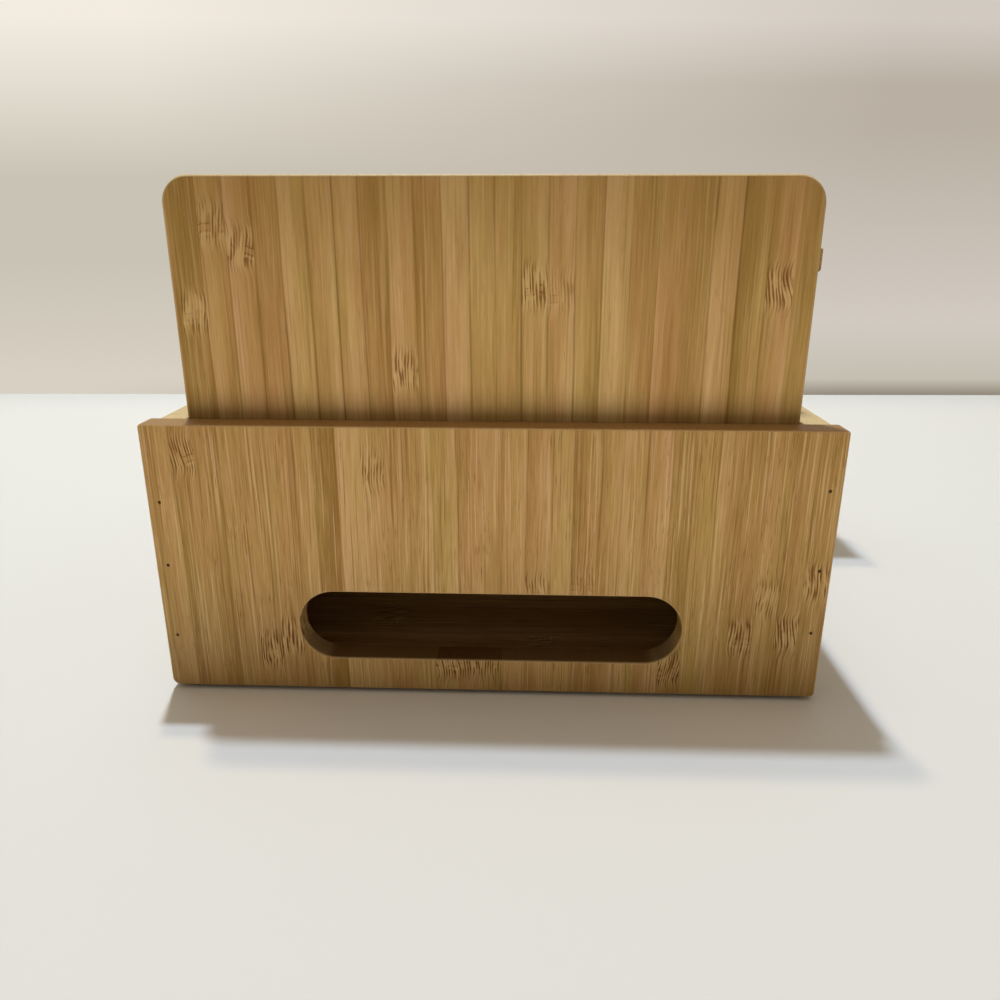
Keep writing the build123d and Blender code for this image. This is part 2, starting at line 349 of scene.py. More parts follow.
@dataclass(frozen=True)
class SidePressedBamboo:
    """Side-pressed bamboo under a thin satin lacquer.

    The boards are glued edge to edge from planed strips, so the eye sees upright strips of slightly
    different tone, dark glue seams, hair-fine fibres, and a knuckle here and there where the cane
    had a joint. The lacquer is thin: it evens the shine, and leaves the fibres' relief. A board
    can get painted shade: darker from one height up to another along its fibres.
    """

    name: str = "side_pressed_bamboo_lacquered"
    dusky: str = "#916931"
    even: str = "#ad8552"
    pale: str = "#c5a073"
    olive_dusky: str = "#876b2c"
    olive_even: str = "#a7894a"
    olive_pale: str = "#c0a367"
    dark_line: str = "#6f4d1c"
    pale_line: str = "#cdb07e"
    seam: str = "#62440f"
    knuckle: str = "#683f08"
    knuckle_pale: str = "#cbac75"
    core: str = "#80511d"
    end_grain: str = "#efd6a2"
    pore: str = "#c49a5e"
    # Colour of the painted shade on the end grain low on a routed board.
    slot_shade: str = "#523818"
    # Paler eased edges: edge wear, and a painted highlight.
    edge_wear_and_highlight: str = "#e6cb98"
    layers: tuple[Layer, ...] = (
        Layer(Pattern(5.0, 6.0, 80.0), 0.9, bends=False),
        Layer(Pattern(6.0, 1.6, 80.0, 3.0), 0.5),
        Layer(Pattern(7.0, 0.75, 14.0), 0.5),
    )
    contrast: float = 0.95
    lines: float = 0.25
    ticks: float = 0.25
    seams: float = 0.65
    hair_mm: float = 1.05
    hairs: float = 0.85
    cut_knuckle: float = 0.15
    # Painted shade: darker from the first height up to the second along the fibres, by this weight.
    top_shade_from_mm: float = 142.0
    top_shade_to_mm: float = 192.0
    top_shade: float = 0.0
    sway_mm: float = 0.7
    seam_mm: float = 0.5
    knuckle_core_mm: float = 3.0
    knuckle_reach_mm: float = 11.0
    pore_mm: float = 0.9
    # Painted shade on the end grain: its top height and fade length; none at nought.
    slot_shade_top_mm: float = 0.0
    slot_shade_fade_mm: float = 5.0
    relief_mm: float = 0.06
    roughness: float = 0.5
    ior: float = 1.5
    shine: float = 0.3

    def material(self, board: Board) -> bpy.types.Material:
        """Make this finish for one board, with the board's own strips.

        Args:
            board: The board that gets it.

        Returns:
            The material.
        """
        material, tree = new_material(f"{self.name}_{board.node}")
        fibres = self.lay_fibres(tree, board)
        strips = self.lay_strips(fibres)
        knuckle = self.place_knuckle(fibres, strips)
        wood = self.grow_grain(fibres, strips, knuckle)
        self.draw_lines(fibres, knuckle, wood)
        wood.draw(fibres, strips.gutter, 0.2 * self.seams, self.dark_line, sink=0.0)
        wood.draw(fibres, strips.seam, self.seams, self.seam)
        self.draw_knuckle(fibres, strips, knuckle, wood)
        # Painted shade towards the upper end of the fibres.
        links = {0: fibres.along, 1: self.top_shade_from_mm, 2: self.top_shade_to_mm}
        top_shade_ramp = fibres.add("MapRange", links, **EASED)
        wood.draw(fibres, top_shade_ramp, self.top_shade, self.dark_line, sink=0.0)
        self.cut_ends(fibres, knuckle, wood)
        self.lacquer(fibres, wood)
        return material

    def lay_fibres(self, tree: bpy.types.NodeTree, board: Board) -> Fibres:
        """Turn the object's own coordinates into millimetres across, through and along the board.

        Args:
            tree: The material's node tree.
            board: The board that gets it.

        Returns:
            The sockets that the rest of the tree reads.
        """
        across, depth, along = board.grain.value
        coords = add_node(tree, "TexCoord")
        links = {0: coords.outputs["Object"], 1: (MM_PER_METRE,) * 3}
        real = add_node(tree, "VectorMath", links, operation="MULTIPLY")
        axes = add_node(tree, "SeparateXYZ", {0: real}).outputs
        place = add_node(tree, "CombineXYZ", {0: axes[across], 1: axes[depth], 2: axes[along]})
        normal = add_node(tree, "VectorMath", {0: coords.outputs["Normal"]}, operation="ABSOLUTE")
        sides = add_node(tree, "SeparateXYZ", {0: normal}).outputs
        links = {"Value": sides[along], "From Min": 0.35, "From Max": 0.6}
        facing_end = add_node(tree, "MapRange", links)
        widest = add_node(tree, "Math", {0: sides["X"], 1: sides["Y"]}, operation="MAXIMUM")
        widest = add_node(tree, "Math", {0: widest, 1: sides["Z"]}, operation="MAXIMUM")
        links = {"Value": widest, "From Min": 0.995, "From Max": 0.94}
        rounded = add_node(tree, "MapRange", links)
        return Fibres(tree, board, place, axes[across], axes[along], facing_end, rounded)

    def lay_strips(self, fibres: Fibres) -> Strips:
        """Lay the board's glued strips side by side.

        Args:
            fibres: The board's sockets.

        Returns:
            What each strip says.
        """
        board, add = fibres.board, fibres.add
        strips = board.all_strips()
        links = {0: fibres.streaks(SEAM_SWAY), 1: 0.2, 2: 0.8, 3: -self.sway_mm, 4: self.sway_mm}
        sway = add("MapRange", links, **EASED)
        across = add("Math", {0: fibres.across, 1: sway}, operation="ADD")
        across = add("Math", {0: across, 1: board.start_mm()}, operation="SUBTRACT")
        counted = add("Math", {0: across, 1: board.strip_mm}, operation="DIVIDE")
        index = add("Math", {0: counted}, operation="FLOOR")
        spot = add("Math", {0: index, 1: 0.5}, operation="ADD")
        spot = add("Math", {0: spot, 1: float(len(strips))}, operation="DIVIDE")
        stops = [
            (i / len(strips), (s.tone.value, s.knuckle_mm / KNUCKLE_SCALE_MM, s.strength, 1.0))
            for i, s in enumerate(strips)
        ]
        table = add("ValToRGB", {0: spot}, Ramp(stops, "CONSTANT"))
        tone, knuckle, strength = add("SeparateColor", {0: table}).outputs
        knuckle = add("Math", {0: knuckle, 1: KNUCKLE_SCALE_MM}, operation="MULTIPLY")
        seeded = add("Math", {0: index, 1: board.seed * 10.0}, operation="ADD")
        draws = add("TexWhiteNoise", {"W": seeded}, noise_dimensions="1D").outputs["Color"]
        draws = add("SeparateColor", {0: draws}).outputs
        seam, gutter = self.glue_seams(fibres, counted)
        share = add("Math", {0: counted}, operation="FRACT")
        return Strips(tone, knuckle.outputs[0], strength, share, draws, seam, gutter)

    def glue_seams(
        self, fibres: Fibres, counted: bpy.types.Node
    ) -> tuple[bpy.types.Node, bpy.types.Node]:
        """Find the glue seams, some of them strong and none of them even.

        Args:
            fibres: The board's sockets.
            counted: How many strips lie before a point.

        Returns:
            The seam itself, and the wider darkening beside it.
        """
        add = fibres.add
        nearest = add("Math", {0: counted}, operation="ROUND")
        gap = add("Math", {0: counted, 1: nearest}, operation="SUBTRACT")
        gap = add("Math", {0: gap}, operation="ABSOLUTE")
        gap = add("Math", {0: gap, 1: fibres.board.strip_mm}, operation="MULTIPLY")
        seeded = add("Math", {0: nearest, 1: fibres.board.seed * 7.0}, operation="ADD")
        strong = add("TexWhiteNoise", {"W": seeded}, noise_dimensions="1D")
        strong = add("Math", {0: strong, 1: 0.8}, operation="POWER")
        links = {0: fibres.streaks(SEAM_PATCHES), 1: 0.3, 2: 0.6, 3: 0.35}
        patchy = add("MapRange", links, **EASED)
        strong = add("Math", {0: strong, 1: patchy}, operation="MULTIPLY")
        seam = add("MapRange", {0: gap, 1: self.seam_mm, 2: 0.2 * self.seam_mm}, **EASED)
        seam = add("Math", {0: seam, 1: strong}, operation="MULTIPLY")
        gutter = add("MapRange", {0: gap, 1: 3.0 * self.seam_mm, 2: 0.0}, **EASED)
        return seam, add("Math", {0: gutter, 1: strong}, operation="MULTIPLY")

    def place_knuckle(self, fibres: Fibres, strips: Strips) -> Knuckle:
        """Find how near a point is to its strip's knuckle, and bend the fibres round it.

        Args:
            fibres: The board's sockets.
            strips: What each strip says.

        Returns:
            How near the knuckle is, the height above it and the bend.
        """
        add = fibres.add
        height = add("Math", {0: fibres.along, 1: strips.knuckle}, operation="SUBTRACT")
        near = add("Math", {0: height}, operation="ABSOLUTE")
        links = {0: near, 1: self.knuckle_reach_mm, 2: self.knuckle_core_mm}
        near = add("MapRange", links, **EASED)
        near = add("Math", {0: near, 1: strips.strength}, operation="MULTIPLY")
        links = {0: fibres.streaks(FIBRE_SWAY), 1: 0.0, 2: 1.0, 3: -0.8, 4: 0.8}
        sway = add("MapRange", links, **EASED)
        links = {0: fibres.streaks(KNUCKLE_SWIRL), 1: 0.2, 2: 0.8, 3: -0.6, 4: 0.6}
        swirl = add("MapRange", links, **EASED)
        slant = add("MapRange", {0: strips.draws[0], 3: -0.22, 4: 0.22}, **EASED)
        swirl = add("Math", {0: height, 1: slant, 2: swirl}, operation="MULTIPLY_ADD")
        bend = add("Math", {0: swirl, 1: near, 2: sway}, operation="MULTIPLY_ADD")
        return Knuckle(near, height, bend)

    def grow_grain(self, fibres: Fibres, strips: Strips, knuckle: Knuckle) -> Wood:
        """Add up a point's tone from its strip, slow drift, long streaks and hairs, and colour it.

        Args:
            fibres: The board's sockets.
            strips: What each strip says.
            knuckle: Where the fibres bend.

        Returns:
            The wood so far.
        """
        add = fibres.add
        slope = add("MapRange", {0: strips.draws[0], 3: -0.42, 4: 0.42}, **EASED)
        middle = Tone.EVEN.value * (1.0 - self.contrast)
        links = {0: strips.tone, 1: self.contrast, 2: middle}
        tone = add("Math", links, operation="MULTIPLY_ADD")
        share = add("Math", {0: strips.share, 1: 0.5}, operation="SUBTRACT")
        tone = add("Math", {0: share, 1: slope, 2: tone}, operation="MULTIPLY_ADD")
        relief: Any = 0.0
        for layer in self.layers:
            noise = fibres.streaks(layer.pattern, knuckle.bend if layer.bends else 0.0)
            excess = add("Math", {0: noise, 1: 0.5}, operation="SUBTRACT")
            tone = add("Math", {0: excess, 1: layer.weight, 2: tone}, operation="MULTIPLY_ADD")
            if layer.bends:
                relief = add("Math", {0: noise, 1: 0.7, 2: relief}, operation="MULTIPLY_ADD")
        families = (
            (self.dusky, self.even, self.pale),
            (self.olive_dusky, self.olive_even, self.olive_pale),
        )
        brown, olive = (
            add("ValToRGB", {0: tone}, Ramp([(s, linear(c)) for s, c in zip(TONE_STOPS, codes)]))
            for codes in families
        )
        drift = add("MapRange", {0: fibres.streaks(HUE_DRIFT), 1: 0.3, 2: 0.7, 4: 0.5}, **EASED)
        drift = add("Math", {0: strips.draws[1], 1: 0.5, 2: drift}, operation="MULTIPLY_ADD")
        mixed = add("Mix", {0: drift, 6: brown, 7: olive}, data_type="RGBA")
        return Wood(mixed.outputs[2], relief)

    def draw_lines(self, fibres: Fibres, knuckle: Knuckle, wood: Wood) -> None:
        """Draw the long dark and pale lines of single fibre bundles, and their short dark ticks.

        Args:
            fibres: The board's sockets.
            knuckle: Where the fibres bend.
            wood: The wood so far.
        """
        add = fibres.add
        long = fibres.streaks(FIBRE_LINES, knuckle.bend)
        dark = add("MapRange", {0: long, 1: 0.57, 2: 0.72}, **EASED)
        wood.draw(fibres, dark, self.lines, self.dark_line)
        pale = add("MapRange", {0: long, 1: 0.43, 2: 0.3}, **EASED)
        wood.draw(fibres, pale, self.lines, self.pale_line, sink=-0.5)
        links = {0: fibres.streaks(TICKS, knuckle.bend), 1: 0.58, 2: 0.74}
        ticks = add("MapRange", links, **EASED)
        groups = add("MapRange", {0: fibres.streaks(TICK_GROUPS), 1: 0.42, 2: 0.6}, **EASED)
        ticks = add("Math", {0: ticks, 1: groups}, operation="MULTIPLY")
        wood.draw(fibres, ticks, self.ticks, self.dark_line)

    def draw_knuckle(self, fibres: Fibres, strips: Strips, knuckle: Knuckle, wood: Wood) -> None:
        """Draw each knuckle: a darker core above, a comb of dark and pale hairs, and the bars.

        Args:
            fibres: The board's sockets.
            strips: What each strip says.
            knuckle: How near the knuckle is.
            wood: The wood so far.
        """
        add = fibres.add
        links = {0: fibres.streaks(KNUCKLE_CORE, knuckle.bend), 1: 0.5, 2: 0.64}
        core = add("MapRange", links, **EASED)
        above = add("MapRange", {0: knuckle.height, 1: -2.0, 2: 1.0}, **EASED)
        above = add("Math", {0: above, 1: knuckle.near}, operation="MULTIPLY")
        core = add("Math", {0: core, 1: above}, operation="MULTIPLY")
        wood.draw(fibres, knuckle.near, 0.2, self.knuckle_pale, sink=0.0)
        wood.draw(fibres, core, 0.6, self.core, sink=0.0)
        turned = add("Math", {0: fibres.across, 1: knuckle.bend}, operation="ADD")
        turned = add("Math", {0: turned, 1: math.tau / self.hair_mm}, operation="MULTIPLY")
        comb = add("Math", {0: turned}, operation="SINE")
        links = {0: comb, 1: 0.12, 2: fibres.streaks(KNUCKLE_HAIRS, knuckle.bend)}
        hairs = add("Math", links, operation="MULTIPLY_ADD")
        pale = add("MapRange", {0: hairs, 1: 0.47, 2: 0.38}, **EASED)
        pale = add("Math", {0: pale, 1: knuckle.near}, operation="MULTIPLY")
        dark = add("MapRange", {0: hairs, 1: 0.53, 2: 0.63}, **EASED)
        dark = add("Math", {0: dark, 1: knuckle.near}, operation="MULTIPLY")
        wood.draw(fibres, pale, 0.45, self.knuckle_pale, sink=-0.5)
        wood.draw(fibres, dark, self.hairs, self.knuckle)
        self.draw_bars(fibres, strips, knuckle, wood)

    def draw_bars(self, fibres: Fibres, strips: Strips, knuckle: Knuckle, wood: Wood) -> None:
        """Draw the bars that cross some knuckles: a plain fill, two dark lines and a pale one.

        Args:
            fibres: The board's sockets.
            strips: What each strip says.
            knuckle: How near the knuckle is.
            wood: The wood so far.
        """
        add = fibres.add
        links = {0: fibres.streaks(BAR_RIPPLE), 1: 0.2, 2: 0.8, 3: -0.8, 4: 0.8}
        ripple = add("MapRange", links, **EASED)
        level = add("Math", {0: knuckle.height, 1: ripple}, operation="ADD")
        shown = add("MapRange", {0: strips.draws[2], 1: 0.4, 2: 0.8}, **EASED)
        shown = add("Math", {0: shown, 1: knuckle.near}, operation="MULTIPLY")
        patches = add("MapRange", {0: fibres.streaks(BAR_PATCHES), 1: 0.46, 2: 0.56}, **EASED)
        shown = add("Math", {0: shown, 1: patches}, operation="MULTIPLY")
        bars = (
            (1.2, 1.5, 0.6, self.even),
            (0.0, 0.45, 0.6, self.knuckle),
            (2.4, 0.45, 0.35, self.knuckle),
            (3.4, 0.8, 0.4, self.knuckle_pale),
        )
        for drop_mm, half_mm, weight, code in bars:
            bar = add("Math", {0: level, 1: drop_mm}, operation="ADD")
            bar = add("Math", {0: bar}, operation="ABSOLUTE")
            bar = add("MapRange", {0: bar, 1: half_mm, 2: 0.2 * half_mm}, **EASED)
            bar = add("Math", {0: bar, 1: shown}, operation="MULTIPLY")
            wood.draw(fibres, bar, weight, code)

    def cut_ends(self, fibres: Fibres, knuckle: Knuckle, wood: Wood) -> None:
        """Show the cut fibre bundles on the end grain, painted shade on the low end grain of a
        routed
        board, and paler eased edges: part wear, part painted highlight.

        Args:
            fibres: The board's sockets.
            knuckle: How near the knuckle is.
            wood: The wood so far.
        """
        add = fibres.add
        per_mm = (1 / self.pore_mm, 1 / self.pore_mm, 0.0)
        flat = add("VectorMath", {0: fibres.place, 1: per_mm}, operation="MULTIPLY")
        pores = add("TexVoronoi", {"Vector": flat, "Scale": 1.0})
        pores = add("MapRange", {0: pores, 1: 0.42, 2: 0.15, 4: 0.55}, **EASED)
        cut = add("Math", {0: knuckle.near, 1: self.cut_knuckle}, operation="MULTIPLY")
        # Painted shade on the end grain below the given top height, fading in over the given
        # length.
        low_mm = self.slot_shade_top_mm - self.slot_shade_fade_mm
        links = {0: fibres.along, 1: self.slot_shade_top_mm, 2: low_mm, 4: 0.7}
        slot_shade_mask = add("MapRange", links, **EASED)
        ends = linear(self.end_grain)
        coats = (
            (pores, linear(self.pore)),
            (0.2, wood.colour),
            (cut, linear(self.knuckle)),
            (slot_shade_mask, linear(self.slot_shade)),
        )
        for amount, over in coats:
            ends = add("Mix", {0: amount, 6: ends, 7: over}, data_type="RGBA").outputs[2]
        links = {0: fibres.facing_end, 6: wood.colour, 7: ends}
        wood.colour = add("Mix", links, data_type="RGBA").outputs[2]
        # Paler eased edges: part wear, part painted highlight.
        wood.draw(fibres, fibres.rounded, 0.18, self.edge_wear_and_highlight, sink=0.0)

    def lacquer(self, fibres: Fibres, wood: Wood) -> None:
        """Put the satin lacquer over the wood, a little duller in the hollows of its relief.

        Args:
            fibres: The board's sockets.
            wood: The finished wood.
        """
        dull, smooth = self.roughness + 0.12, self.roughness - 0.08
        links = {0: wood.relief, 1: 0.2, 2: 1.0, 3: dull, 4: smooth}
        shine = fibres.add("MapRange", links, **EASED)
        links = {"Strength": 1.0, "Distance": self.relief_mm * MM, "Height": wood.relief}
        bump = fibres.add("Bump", links)
        links = {
            "Base Color": wood.colour,
            "Roughness": shine,
            "IOR": self.ior,
            "Specular IOR Level": self.shine,
            "Normal": bump,
        }
        surface = fibres.add("BsdfPrincipled", links)
        fibres.add("OutputMaterial", {"Surface": surface})


@dataclass(frozen=True)
class PlainFinish:
    """A finish with one body colour, fine mottling and a bump of a real grit."""

    name: str
    body: str
    shade: str
    grain_mm: tuple[float, float, float]
    roughness: float
    relief_mm: float
    metallic: float = 0.0
    ior: float = 1.5

    def material(self) -> bpy.types.Material:
        """Make this finish.

        Returns:
            The material.
        """
        material, tree = new_material(self.name)
        coords = add_node(tree, "TexCoord")
        per_metre = tuple(MM_PER_METRE / size for size in self.grain_mm)
        links = {0: coords.outputs["Object"], 1: per_metre}
        place = add_node(tree, "VectorMath", links, operation="MULTIPLY")
        noise = add_node(tree, "TexNoise", {"Vector": place, "Scale": 1.0, "Detail": 3.0})
        ramp = Ramp([(0.35, linear(self.shade)), (0.65, linear(self.body))])
        colour = add_node(tree, "ValToRGB", {0: noise}, ramp)
        links = {"Value": noise, "To Min": self.roughness + 0.1, "To Max": self.roughness - 0.1}
        shine = add_node(tree, "MapRange", links)
        links = {"Strength": 1.0, "Distance": self.relief_mm * MM, "Height": noise}
        bump = add_node(tree, "Bump", links)
        links = {
            "Base Color": colour,
            "Metallic": self.metallic,
            "Roughness": shine,
            "IOR": self.ior,
            "Normal": bump,
        }
        surface = add_node(tree, "BsdfPrincipled", links)
        add_node(tree, "OutputMaterial", {"Surface": surface})
        return material


# The same bamboo from finer cane: close fibres and hardly any glue seam, as the walls show them.
WALL_BAMBOO = SidePressedBamboo(
    "side_pressed_bamboo_fine",
    layers=(
        Layer(Pattern(5.0, 6.0, 70.0), 0.25, bends=False),
        Layer(Pattern(6.0, 1.4, 50.0), 0.2),
        Layer(Pattern(7.0, 0.65, 14.0), 0.9),
    ),
    contrast=0.84,
    lines=0.52,
    ticks=0.6,
    seams=0.3,
    hairs=1.2,
    # Painted shade: the walls get darker from 60 mm up to 110 mm along their fibres.
    top_shade_from_mm=60.0,
    top_shade_to_mm=110.0,
    top_shade=0.16,
)
# The same board with a routed slot: darker end grain, with painted shade on it below 60 mm.
ROUTED_BAMBOO = replace(
    WALL_BAMBOO,
    name="side_pressed_bamboo_routed",
    cut_knuckle=0.75,
    end_grain="#ab8350",
    pore="#84602f",
    slot_shade_top_mm=60.0,
)
# Bamboo that is sanded and left bare inside the box: duller, and a little darker as painted shade.
INSIDE_SHADED_BAMBOO = replace(
    WALL_BAMBOO,
    name="side_pressed_bamboo_sanded_and_shaded",
    dusky="#8a6334",
    even="#a27a45",
    pale="#b98f5c",
    olive_dusky="#886435",
    olive_even="#a07b45",
    olive_pale="#b78f5b",
    top_shade=0.0,
    roughness=0.62,
)
# The tall backboard, browner towards its upper edge with painted shade.
TOP_SHADE_BAMBOO = replace(
    SidePressedBamboo(), name="side_pressed_bamboo_top_shade", top_shade=0.32
)
# Drawn steel wire, dulled: in the brads' pin holes the eye sees only a dark point.
BRAD_STEEL = PlainFinish(
    "drawn_steel_brad",
    body="#7a6048",
    shade="#55412d",
    grain_mm=(0.3, 0.3, 4.0),
    roughness=0.55,
    relief_mm=0.01,
    metallic=1.0,
)
# Zinc-plated steel, tumbled: an even pale grey with a faint yellow cast.
SCREW_STEEL = PlainFinish(
    "zinc_plated_steel_screw",
    body="#c9c4b4",
    shade="#a9a493",
    grain_mm=(0.5, 0.5, 0.5),
    roughness=0.35,
    relief_mm=0.01,
    metallic=1.0,
)
# Moulded rubber with a fine grit, so that it stays dull and doesn't slide.
FOOT_RUBBER = PlainFinish(
    "moulded_rubber_pad",
    body="#39352f",
    shade="#26231f",
    grain_mm=(0.6, 0.6, 0.6),
    roughness=0.8,
    relief_mm=0.05,
    ior=1.52,
)
# Fluted beech dowel: plain pale wood, a little redder than the bamboo.
BEECH_DOWEL = PlainFinish(
    "fluted_beech_dowel",
    body="#cfa57c",
    shade="#b98b62",
    grain_mm=(0.5, 0.5, 12.0),
    roughness=0.6,
    relief_mm=0.04,
)


def put_on(node: bpy.types.Object, material: bpy.types.Material) -> None:
    """Give a carried-over piece its one material.

    Args:
        node: The piece's object.
        material: Its finish.
    """
    node.data.materials.clear()
    node.data.materials.append(material)
    LOG.info("%s is finished in %s", node.name, material.name)


@dataclass
class NailedBox:
    """The nailed box: four walls, a bottom, the cleats under the deck, brads and pads."""

    nodes: Mapping[str, bpy.types.Object]
    strip_mm: float = 8.5
    first_back_mm: float = 1.0
    routed: SidePressedBamboo = ROUTED_BAMBOO
    walls: SidePressedBamboo = WALL_BAMBOO
    inside: SidePressedBamboo = INSIDE_SHADED_BAMBOO
    back_strips: tuple[Strip, ...] = field(default_factory=lambda: BACK_PANEL_STRIPS)

    def boards(self) -> tuple[tuple[Board, SidePressedBamboo], ...]:
        """Pair every bamboo piece of the box with its finish.

        Returns:
            The boards, each with the finish that it gets.
        """
        standing, sideways = Grain.STANDING_FACING_BACK, Grain.STANDING_FACING_SIDE
        crosswise, lengthwise = Grain.LYING_CROSSWISE, Grain.LYING_LENGTHWISE
        width = self.strip_mm
        back = Board("back_panel", standing, width, self.first_back_mm, 1, self.back_strips)
        return (
            (back, self.routed),
            (Board("front_panel", standing, width, first_mm=4.0, seed=12), self.walls),
            (Board("left_side_panel", sideways, width, first_mm=3.0, seed=3), self.walls),
            (Board("right_side_panel", sideways, width, first_mm=6.0, seed=4), self.walls),
            (Board("bottom_board", crosswise, width, first_mm=5.0, seed=5), self.inside),
            (Board("left_cleat", lengthwise, width, first_mm=6.0, seed=6), self.inside),
            (Board("right_cleat", lengthwise, width, first_mm=5.0, seed=7), self.inside),
            (Board("front_cleat", crosswise, width, first_mm=4.0, seed=8), self.inside),
            (Board("back_cleat", crosswise, width, first_mm=7.0, seed=9), self.inside),
        )

    def dress(self) -> None:
        """Finish every piece of the box."""
        for board, finish in self.boards():
            put_on(self.nodes[board.node], finish.material(board))
        steel = BRAD_STEEL.material()
        for name in ("back_brads", "front_brads", "bottom_brads", "cleat_brads"):
            put_on(self.nodes[name], steel)
        put_on(self.nodes["foot_pads"], FOOT_RUBBER.material())


@dataclass
class LiftOffDeck:
    """The deck that lifts off the box, with the tall backboard screwed to it."""

    nodes: Mapping[str, bpy.types.Object]
    deck_strip_mm: float = 8.5
    board_strip_mm: float = 9.15
    first_board_mm: float = 8.3
    deck_finish: SidePressedBamboo = SidePressedBamboo()
    board_finish: SidePressedBamboo = TOP_SHADE_BAMBOO
    board_strips: tuple[Strip, ...] = field(default_factory=lambda: BACKBOARD_STRIPS)

    def dress(self) -> None:
        """Finish the deck, the backboard and its screws."""
        width = self.deck_strip_mm
        deck = Board("deck", Grain.LYING_CROSSWISE, width, first_mm=5.0, seed=21)
        backboard = Board(
            "backboard",
            Grain.STANDING_FACING_BACK,
            self.board_strip_mm,
            first_mm=self.first_board_mm,
            seed=22,
            strips=self.board_strips,
        )
        for board, finish in ((deck, self.deck_finish), (backboard, self.board_finish)):
            put_on(self.nodes[board.node], finish.material(board))
        put_on(self.nodes["backboard_screws"], SCREW_STEEL.material())


@dataclass
class Dividers:
    """The three lift-out dividers between the device bays."""

    nodes: Mapping[str, bpy.types.Object]
    strip_mm: float = 9.15
    first_mm: float = 2.0
    shift_mm: float = 2.5
    seed: int = 31
    finish: SidePressedBamboo = SidePressedBamboo()

    def dress(self) -> None:
        """Finish the dividers, each with strips of its own."""
        for step, name in enumerate(("rear_divider", "middle_divider", "front_divider")):
            first_mm, seed = self.first_mm + self.shift_mm * step, self.seed + step
            board = Board(name, Grain.STANDING_FACING_BACK, self.strip_mm, first_mm, seed)
            put_on(self.nodes[name], self.finish.material(board))


@dataclass
class WatchStand:
    """The watch charger's post and arm, pinned together with two dowels."""

    nodes: Mapping[str, bpy.types.Object]
    strip_mm: float = 9.0
    finish: SidePressedBamboo = SidePressedBamboo()

    def dress(self) -> None:
        """Finish the post, the arm and the dowels."""
        boards = (
            Board("watch_post", Grain.STANDING_FACING_SIDE, self.strip_mm, first_mm=3.0, seed=41),
            Board("watch_arm", Grain.LYING_CROSSWISE, self.strip_mm, first_mm=5.0, seed=42),
        )
        for board in boards:
            put_on(self.nodes[board.node], self.finish.material(board))
        put_on(self.nodes["watch_arm_dowels"], BEECH_DOWEL.material())


# Strips of the back panel from the object's left to its right, read off the photograph.
BACK_PANEL_STRIPS = (
    Strip(Tone.DUSKY),
    Strip(Tone.DUSKY, 49.5, 0.8),
    Strip(Tone.DUSKY, 28.5, 1.0),
    Strip(Tone.EVEN, 42.5, 0.7),
    Strip(Tone.DUSKY, 26.5, 1.0),
    Strip(Tone.EVEN),
    Strip(Tone.EVEN),
    Strip(Tone.DUSKY, 12.5, 1.0),
    Strip(Tone.FAIR),
    Strip(Tone.FAIR),
    Strip(Tone.EVEN),
    Strip(Tone.DUSKY, 47.0, 0.4),
    Strip(Tone.FAIR),
    Strip(Tone.EVEN, 44.0, 0.6),
    Strip(Tone.FAIR),
    Strip(Tone.EVEN, 15.0, 0.8),
    Strip(Tone.EVEN, 15.5, 1.0),
    Strip(Tone.FAIR, 14.5, 1.0),
    Strip(Tone.FAIR),
    Strip(Tone.EVEN),
    Strip(Tone.FAIR, 91.0, 0.6),
    Strip(Tone.PALE),
    Strip(Tone.DARK),
    Strip(Tone.EVEN),
    Strip(Tone.EVEN, 24.0, 1.0),
    Strip(Tone.EVEN, 18.0, 1.0),
    Strip(Tone.EVEN, 64.5, 0.3),
    Strip(Tone.DUSKY),
    Strip(Tone.DUSKY, 95.5, 0.8),
    Strip(Tone.EVEN),
    Strip(Tone.DUSKY),
)

# Strips of the backboard from the object's left to its right, read off the photograph.
BACKBOARD_STRIPS = (
    Strip(Tone.DUSKY),
    Strip(Tone.EVEN, 153.5, 1.0),
    Strip(Tone.DUSKY),
    Strip(Tone.FAIR),
    Strip(Tone.DUSKY),
    Strip(Tone.EVEN),
    Strip(Tone.DUSKY),
    Strip(Tone.PALE),
    Strip(Tone.EVEN),
    Strip(Tone.FAIR, 151.5, 0.5),
    Strip(Tone.FAIR, 153.5, 1.0),
    Strip(Tone.EVEN),
    Strip(Tone.EVEN),
    Strip(Tone.PALE),
    Strip(Tone.DUSKY),
    Strip(Tone.EVEN, 124.5, 0.9),
    Strip(Tone.DUSKY),
    Strip(Tone.FAIR),
    Strip(Tone.FAIR),
    Strip(Tone.FAIR),
    Strip(Tone.DUSKY),
    Strip(Tone.EVEN, 166.5, 1.0),
    Strip(Tone.EVEN, 173.5, 0.9),
    Strip(Tone.DARK, 144.5, 1.0),
    Strip(Tone.EVEN),
)


def plain_sheet(name: str, corners: Sequence[tuple[float, float, float]]) -> bpy.types.Object:
    """Make a flat four-cornered sheet for the stage.

    Args:
        name: The object's name.
        corners: Its corners in turn.

    Returns:
        The new object, linked to the scene.
    """
    mesh = bpy.data.meshes.new(name)
    sheet = bmesh.new()
    sheet.faces.new([sheet.verts.new(corner) for corner in corners])
    sheet.to_mesh(mesh)
    sheet.free()
    made = bpy.data.objects.new(name, mesh)
    bpy.context.scene.collection.objects.link(made)
    return made


def seen_directly(tree: bpy.types.NodeTree) -> bpy.types.Node:
    """Tell whether a ray comes from the camera, or from glossy or clear material.

    Args:
        tree: The node tree that asks.

    Returns:
        A node that gives one for such a ray and nought for any other.
    """
    path = add_node(tree, "LightPath")
    links = {0: path.outputs["Is Camera Ray"], 1: path.outputs["Is Glossy Ray"]}
    seen = add_node(tree, "Math", links, operation="MAXIMUM")
    links = {0: seen, 1: path.outputs["Is Transmission Ray"]}
    return add_node(tree, "Math", links, operation="MAXIMUM")


